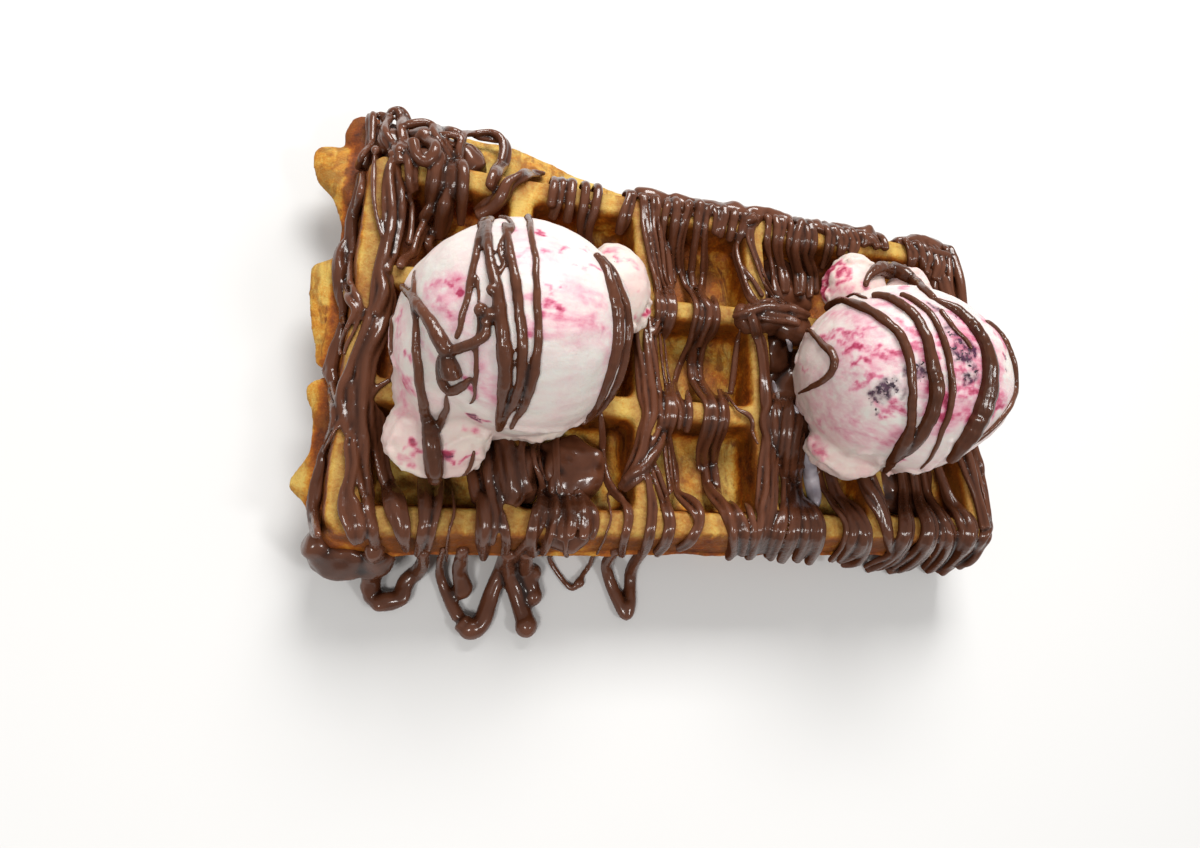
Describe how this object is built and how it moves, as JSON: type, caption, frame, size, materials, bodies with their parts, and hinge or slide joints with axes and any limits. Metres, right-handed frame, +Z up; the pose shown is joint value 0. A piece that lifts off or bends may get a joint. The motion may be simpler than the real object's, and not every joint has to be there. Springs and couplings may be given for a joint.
{
  "type": "waffle with ice cream",
  "caption": "Thick rectangular waffle with deep pockets on both faces, topped with two scoops of berry ice cream and strands of poured chocolate that run over its sides.",
  "frame": {"origin": "middle of the part's outline, at the height of the ridges it rests on", "axes": "+X along the waffle's long side, towards the scoop with the dark berries; +Y across it, away from the strands that lie on the table; +Z up, out of the pockets that hold the ice cream"},
  "size_m": [0.2014, 0.144, 0.0774],
  "materials": {
    "waffle": "satin",
    "ice_cream": "satin"
  },
  "bodies": {
    "root": {"waffle": "waffle", "scoop_left": "ice_cream", "scoop_right": "ice_cream"}
  },
  "joints": []
}
